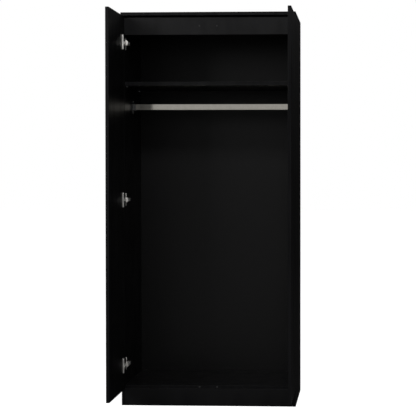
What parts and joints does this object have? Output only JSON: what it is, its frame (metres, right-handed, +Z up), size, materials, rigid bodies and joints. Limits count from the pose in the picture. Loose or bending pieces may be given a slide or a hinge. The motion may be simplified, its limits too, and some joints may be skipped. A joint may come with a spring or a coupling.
{
  "type": "wardrobe with doors",
  "caption": "Tall black wardrobe with hinged doors, a hat shelf, a hanging rail and concealed cup hinges; its doors stand open square to the front.",
  "frame": {"origin": "centre of the footprint on the floor with the doors open as stored; the cabinet's front plane is at y = -0.04475 m", "axes": "+Z up, front and open doors towards -Y, +X to the right seen from the front"},
  "size_m": [0.8, 0.8964, 1.8],
  "materials": {
    "black_board": "satin melamine",
    "black_door": "satin melamine",
    "black_back": "matt",
    "black_bumper": "matt",
    "chrome": "polished",
    "nickel": "nickel plated, satin",
    "zinc": "zinc plated",
    "beech": "raw"
  },
  "bodies": {
    "cabinet": {"side_panel_left": "black_board", "side_panel_right": "black_board", "top_panel": "black_board", "bottom_panel": "black_board", "plinth_board": "black_board", "top_rail": "black_board", "back_panel": "black_back", "shelf": "black_board", "shelf_pegs": "zinc", "cam_locks": "zinc", "cam_bolts": "zinc", "dowels": "beech", "back_nails": "zinc", "hanging_rail": "chrome", "rail_bracket_left": "zinc", "rail_bracket_right": "zinc", "rail_bracket_screws": "zinc", "door_bumpers": "black_bumper", "hinge_arm_left_bottom": "nickel", "hinge_arm_left_middle": "nickel", "hinge_arm_left_top": "nickel", "hinge_arm_right_bottom": "nickel", "hinge_arm_right_middle": "nickel", "hinge_arm_right_top": "nickel", "hinge_plate_left_bottom": "nickel", "hinge_plate_left_middle": "nickel", "hinge_plate_left_top": "nickel", "hinge_plate_right_bottom": "nickel", "hinge_plate_right_middle": "nickel", "hinge_plate_right_top": "nickel", "plate_screws_left": "zinc", "plate_screws_right": "zinc", "arm_screws_left": "zinc", "arm_screws_right": "zinc"},
    "left_door": {"door_left": "black_door", "hinge_cup_left_bottom": "nickel", "hinge_cup_left_middle": "nickel", "hinge_cup_left_top": "nickel", "hinge_pins_left": "zinc", "cup_screws_left": "zinc"},
    "right_door": {"door_right": "black_door", "hinge_cup_right_bottom": "nickel", "hinge_cup_right_middle": "nickel", "hinge_cup_right_top": "nickel", "hinge_pins_right": "zinc", "cup_screws_right": "zinc"}
  },
  "joints": [
    {"name": "left_door_swing", "type": "hinge", "parent": "cabinet", "child": "left_door", "pos_m": [-0.394, -0.05575, 0.93], "axis": [0, 0, -1], "range_deg": [-90, 5]},
    {"name": "right_door_swing", "type": "hinge", "parent": "cabinet", "child": "right_door", "pos_m": [0.394, -0.05575, 0.93], "axis": [0, 0, 1], "range_deg": [-90, 5]}
  ]
}
